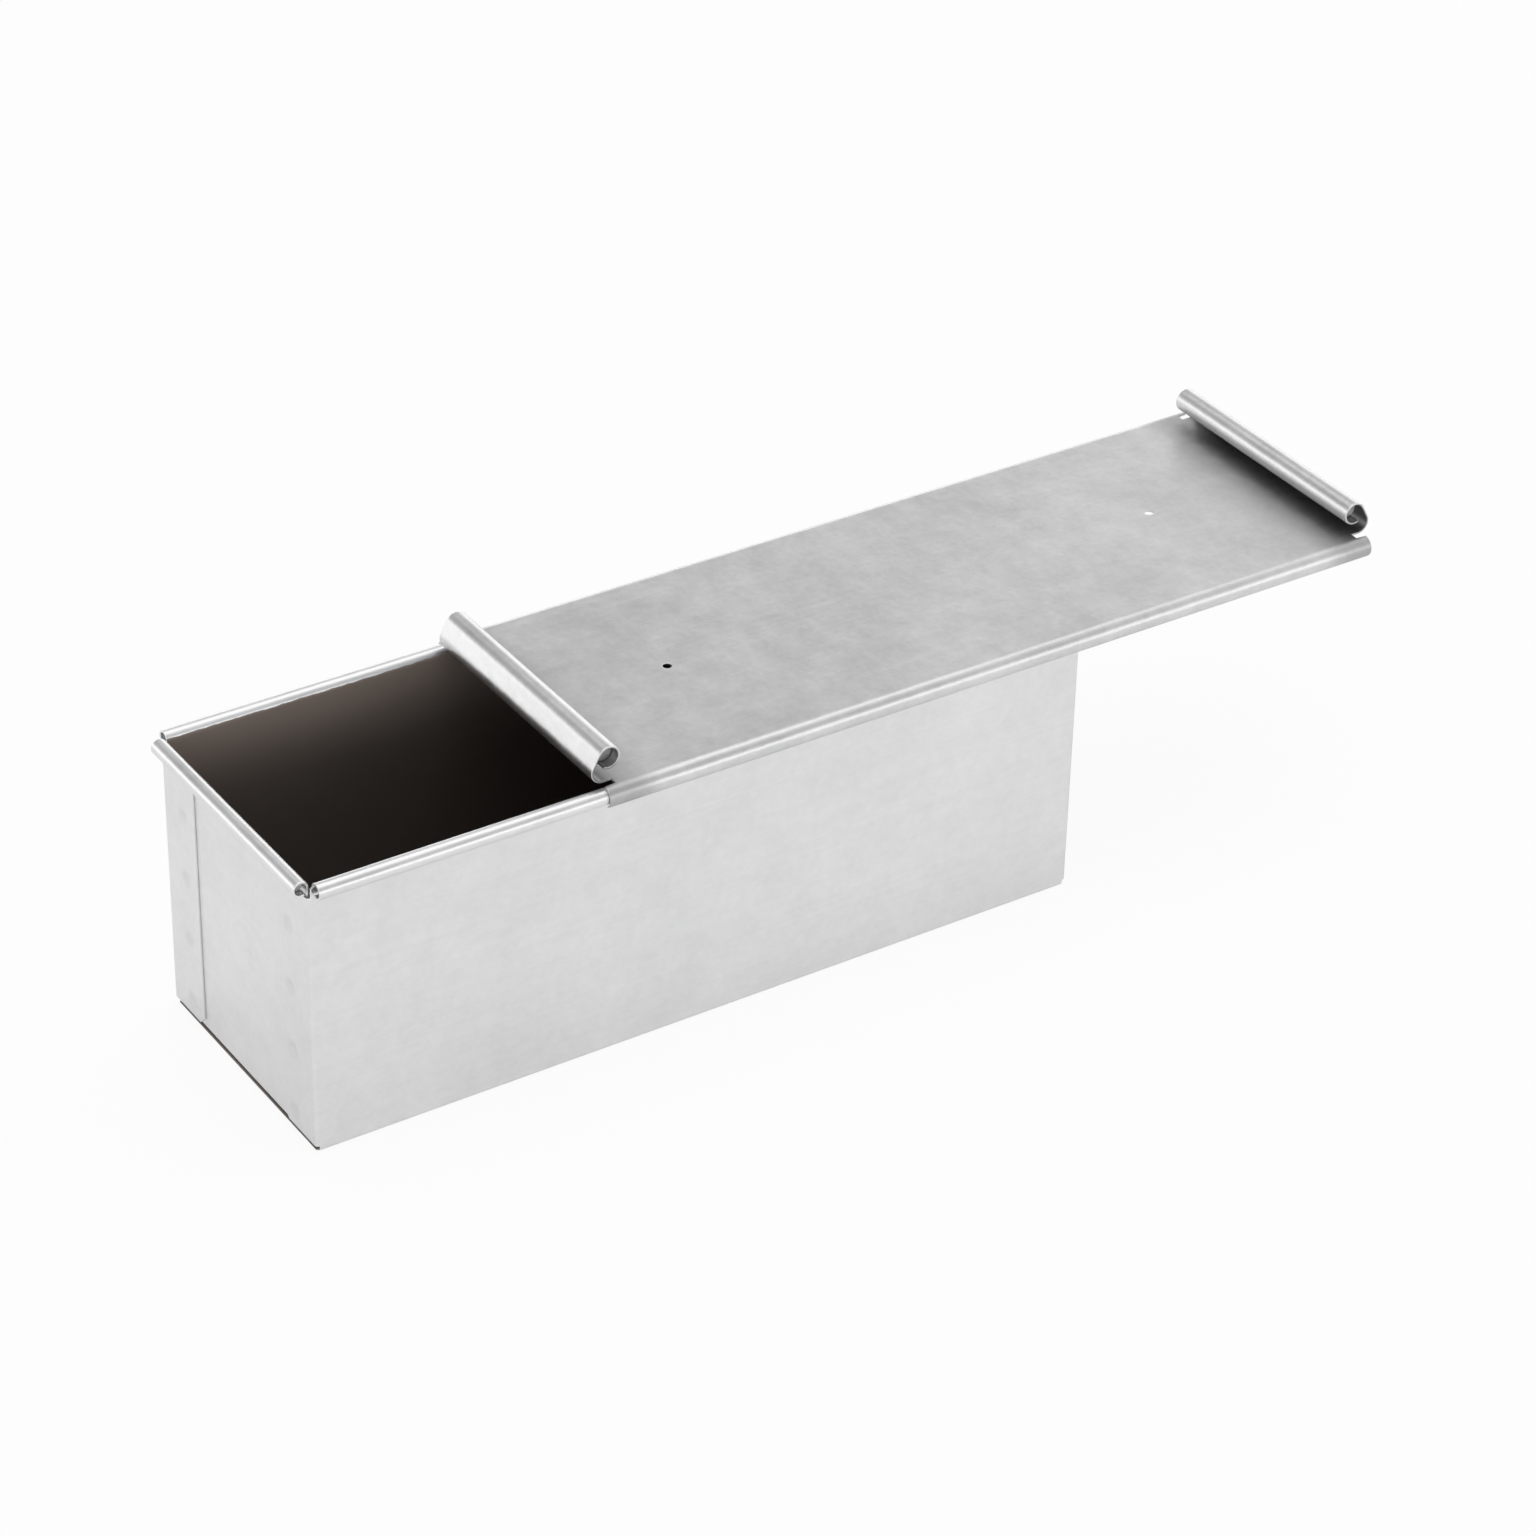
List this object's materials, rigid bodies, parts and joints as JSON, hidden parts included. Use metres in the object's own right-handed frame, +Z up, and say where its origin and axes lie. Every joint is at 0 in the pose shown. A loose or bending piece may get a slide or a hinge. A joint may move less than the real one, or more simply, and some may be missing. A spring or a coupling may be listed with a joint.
{
  "type": "pullman loaf pan",
  "caption": "Straight-sided rectangular loaf pan of sheet steel with wired rolled rims, a dark coated inside and a flat vented lid that slides on the long rims.",
  "frame": {"origin": "centre of the pan floor's underside", "axes": "+X along the pan towards the end over which the lid is drawn, +Y towards the back wall, +Z up out of the pan"},
  "size_m": [0.4347, 0.114, 0.1211],
  "materials": {
    "pan_sheet": "satin aluminised sheet steel, 0.8 mm; the inside faces of the pan carry a matt dark brown-black non-stick coating",
    "lid_sheet": "satin aluminised sheet steel, 0.8 mm, lightly mottled",
    "wire": "plain drawn steel wire, dulled"
  },
  "bodies": {
    "pan": {"trough": "pan_sheet", "left_end_wall": "pan_sheet", "right_end_wall": "pan_sheet", "front_rim_wire": "wire", "back_rim_wire": "wire", "left_rim_wire": "wire", "right_rim_wire": "wire"},
    "lid": {"lid": "lid_sheet", "left_lid_wire": "wire", "right_lid_wire": "wire"}
  },
  "joints": [
    {"name": "lid_slide", "type": "slide", "parent": "pan", "child": "lid", "axis": [1, 0, 0], "range_m": [-0.1165, 0.192]}
  ]
}
